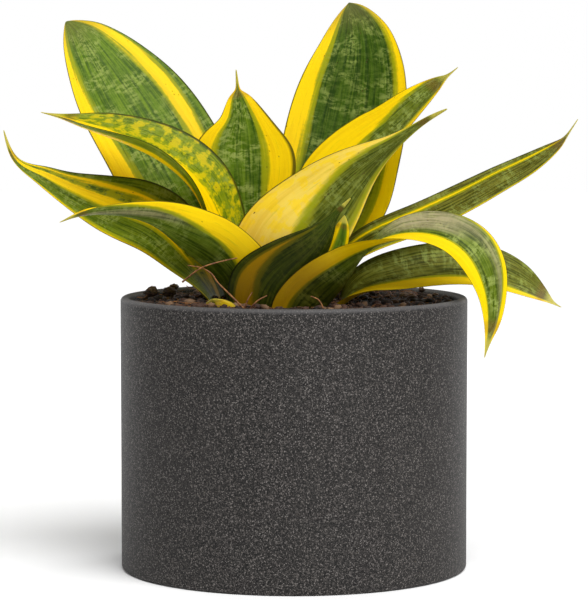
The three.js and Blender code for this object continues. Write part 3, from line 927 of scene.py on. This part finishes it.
def scatter_hairs(skin):
    """Fine root hairs and coir threads lying in loose curls on the soil."""
    chance = random.Random(5)
    paths = []
    for _ in range(HAIR_COUNT):
        x, y = random_place(chance, 0.95)
        heading = chance.random() * math.tau
        radius = chance.uniform(0.07, 0.17) * MM
        path = []
        for _ in range(chance.randrange(4, 8)):
            if Vector((x, y)).length > SOIL_RADIUS * 0.97:
                break
            lift = chance.uniform(0.1, 1.1) * MM
            height = soil_level(x, y, skin) + max(0.0, lumps(x, y)) + lift
            path.append((Vector((x, y, height)), radius))
            heading += chance.uniform(-0.8, 0.8)
            reach = chance.uniform(1.5, 3.5) * MM
            x += reach * math.cos(heading)
            y += reach * math.sin(heading)
        if len(path) > 2:
            paths.append(path)
    return tube("soil_hairs", paths, 0)


def soil_material():
    """Damp peat: near black brown, with tan and grey bits."""
    material, n, shader = new_material("damp peat")
    place = n.object_place()
    clods = n.noise(place, 240.0, 4.0, 0.65)
    bits = n.noise(place, 900.0, 3.0, 0.7)
    colour = n.tint(rgb(14, 7, 4), rgb(58, 34, 22), clods, 0.35, 0.68)
    colour = n.tint(colour, rgb(112, 74, 46), bits, 0.6, 0.74, 0.6)
    colour = n.tint(colour, rgb(150, 122, 96), n.noise(place, 1400.0, 2.0), 0.68, 0.76, 0.5)
    n.plug(shader.inputs["Base Color"], colour)
    n.plug(shader.inputs["Roughness"], n.smooth(bits, 0.3, 0.7, 0.65, 0.95))
    n.plug(shader.inputs["Normal"], n.bump(n.plus(clods, bits), 0.7, 0.0006))
    return material


def crumb_material():
    """Peat crumbs and bark chips, from black to tan."""
    material, n, shader = new_material("peat crumbs")
    tint = n.attribute("tint")
    bits = n.noise(n.object_place(), 1100.0, 3.0, 0.7)
    colour = n.tint(rgb(12, 6, 3), rgb(66, 40, 26), tint, 0.1, 0.7)
    colour = n.tint(colour, rgb(118, 90, 64), tint, 0.82, 0.94)
    colour = n.tint(colour, rgb(118, 84, 60), bits, 0.45, 0.75, 0.45)
    n.plug(shader.inputs["Base Color"], colour)
    n.plug(shader.inputs["Roughness"], n.smooth(bits, 0.2, 0.8, 0.6, 0.95))
    n.plug(shader.inputs["Normal"], n.bump(bits, 0.7, 0.0004))
    return material


# ---------------------------------------------------------------- loose fibres and lumps


def fibre_line(node):
    """The middle line of a packed fibre, read from its rings of corners: the six nearest make a ring, and so on."""
    remaining, _ = merged_corners(node)
    here = min(remaining, key=lambda point: point.z)
    line = []
    while remaining:
        remaining.sort(key=lambda point: (point - here).length)
        ring, remaining = remaining[:FIBRE_SIDES], remaining[FIBRE_SIDES:]
        here = centre(ring)
        line.append(here)
    return line


def make_fibre(node):
    """A thread that thins toward its far end, uneven along its length, with its root end pushed into the soil."""
    line = fibre_line(node)
    last = len(line) - 1
    path = []
    for i, point in enumerate(line):
        thins = 1.0 - 0.45 * i / last
        uneven = 0.9 + 0.25 * noise(point * 900)
        path.append((point, FIBRE_RADIUS * thins * uneven))
    backward = (line[0] - line[1]).normalized()
    path.insert(0, (line[0] + backward * 0.6 * MM, FIBRE_RADIUS))
    return tube("thread_" + node, [path], 3)


def fibre_material():
    """Dry coir: tan to red-brown, with lengthwise grain."""
    material, n, shader = new_material("coir fibre")
    place = n.object_place()
    grain = n.noise(place, 700.0, 4.0, 0.65)
    colour = n.tint(rgb(92, 48, 20), rgb(186, 128, 70), grain, 0.35, 0.7)
    colour = n.tint(colour, rgb(70, 36, 18), n.noise(place, 120.0, 2.0), 0.5, 0.7, 0.6)
    n.plug(shader.inputs["Base Color"], colour)
    n.plug(shader.inputs["Roughness"], n.smooth(grain, 0.3, 0.7, 0.5, 0.8))
    n.plug(shader.inputs["Normal"], n.bump(grain, 0.5, 0.0002))
    return material


def make_lump(node, seed):
    """A knobbly lump that fills a packed pebble's place."""
    low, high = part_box(node)
    middle = (low + high) / 2 - Vector((0, 0, LUMP_SINKS))
    half = (high - low) / 2
    deselect_all()
    bpy.ops.mesh.primitive_ico_sphere_add(subdivisions=4, radius=1.0)
    lump = bpy.context.object
    lump.name = "lump_" + node
    for vertex in lump.data.vertices:
        knobs = 0.28 * noise(vertex.co * 1.6 + Vector((seed * 5, 0, 0)))
        bumps = 0.1 * noise(vertex.co * 5 + Vector((seed, 3, 0)))
        vertex.co = vertex.co * (1 + knobs + bumps) * half + middle
    shade_smooth(lump)
    return lump


def lump_material():
    """Bits of bark and grit, mid brown with pale faces."""
    material, n, shader = new_material("bark grit")
    place = n.object_place()
    grain = n.noise(n.scaled(place, (1, 1, 2.2)), 520.0, 4.0, 0.7)
    colour = n.tint(rgb(34, 20, 12), rgb(104, 78, 60), grain, 0.34, 0.66)
    colour = n.tint(colour, rgb(146, 124, 104), n.noise(place, 900.0, 2.0), 0.6, 0.72, 0.6)
    n.plug(shader.inputs["Base Color"], colour)
    n.plug(shader.inputs["Roughness"], n.smooth(grain, 0.2, 0.8, 0.6, 0.9))
    n.plug(shader.inputs["Normal"], n.bump(grain, 0.7, 0.0005))
    return material


# ---------------------------------------------------------------- floor, light, camera

ROOM_LIGHT = 0.26
OVERHEAD_LIGHT = 3.1
OVERHEAD_SPREAD = math.radians(48)
OVERHEAD_TILT = math.radians(35)
OVERHEAD_TURN = math.radians(27)
STRIP_LIGHT = 2.6
STRIP_SIZE = (0.35, 1.0)
LIT_POINT = Vector((0, 0, 0.12))

LENS_MM = 166.7
CAMERA_PLACE = (0, -1.12, 0.1945)
CAMERA_PITCH = math.radians(90 - 4.40)


def make_stage():
    deselect_all()
    bpy.ops.mesh.primitive_plane_add(size=8, location=(0, 0, 0))
    floor = bpy.context.object
    floor.name = "floor"
    material, _, shader = new_material("pale floor")
    shader.inputs["Base Color"].default_value = (0.98, 0.98, 0.98, 1)
    shader.inputs["Roughness"].default_value = 1.0
    shader.inputs["Specular IOR Level"].default_value = 0.0
    floor.data.materials.append(material)


def strip_light(name, place, power):
    lamp = bpy.data.lights.new(name, "AREA")
    lamp.shape = "RECTANGLE"
    lamp.size, lamp.size_y = STRIP_SIZE
    lamp.energy = power
    holder = new_object(name, lamp)
    holder.location = place
    holder.rotation_euler = (LIT_POINT - Vector(place)).to_track_quat("-Z", "Y").to_euler()


def make_lights():
    """A soft overhead studio light, a strip light on each side, and a room that looks white to the camera."""
    world = bpy.data.worlds.new("studio")
    world.use_nodes = True
    n = Nodes(world.node_tree)
    backdrop = world.node_tree.nodes["Background"]
    backdrop.inputs["Color"].default_value = (1, 1, 1, 1)
    seen = n.add("ShaderNodeLightPath").outputs["Is Camera Ray"]
    n.plug(backdrop.inputs["Strength"], n.smooth(seen, 0.0, 1.0, ROOM_LIGHT, 1.0))
    scene.world = world
    lamp = bpy.data.lights.new("overhead softbox", "SUN")
    lamp.energy = OVERHEAD_LIGHT
    lamp.angle = OVERHEAD_SPREAD
    new_object("overhead softbox", lamp).rotation_euler = (OVERHEAD_TILT, 0, OVERHEAD_TURN)
    strip_light("left strip", (-0.6, 0.72, 0.3), STRIP_LIGHT)
    strip_light("right strip", (0.6, 0.72, 0.3), STRIP_LIGHT * 1.2)
    scene.view_settings.view_transform = "Standard"
    scene.view_settings.look = "None"


def make_camera():
    lens = bpy.data.cameras.new("camera")
    lens.lens = LENS_MM
    lens.sensor_width = 36
    lens.clip_end = 20
    camera = new_object("camera", lens)
    camera.location = CAMERA_PLACE
    camera.rotation_euler = (CAMERA_PITCH, 0, 0)
    scene.camera = camera


# ---------------------------------------------------------------- the plant, piece by piece

make_camera()
make_lights()
make_stage()

finish_piece(make_pot(), pot_material(), "pot", "pot")

skin = soil_skin()
coir = fibre_material()
bark = lump_material()
finish_piece(make_soil(skin), soil_material(), "soil", "soil")
finish_piece(scatter_crumbs(skin), crumb_material(), "soil")
finish_piece(scatter_hairs(skin), coir, "fibre")
for node in sorted(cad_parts):
    if node.startswith("fibre_"):
        finish_piece(make_fibre(node), coir, "fibre", node)
pebbles = [node for node in sorted(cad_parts) if node.startswith("pebble_")]
for number, node in enumerate(pebbles):
    finish_piece(make_lump(node, number), bark, "pebble", node)

for node, look in LEAF_LOOKS.items():
    finish_piece(make_blade(node), leaf_material(node.replace("_", " ") + " skin", **look), node, node)
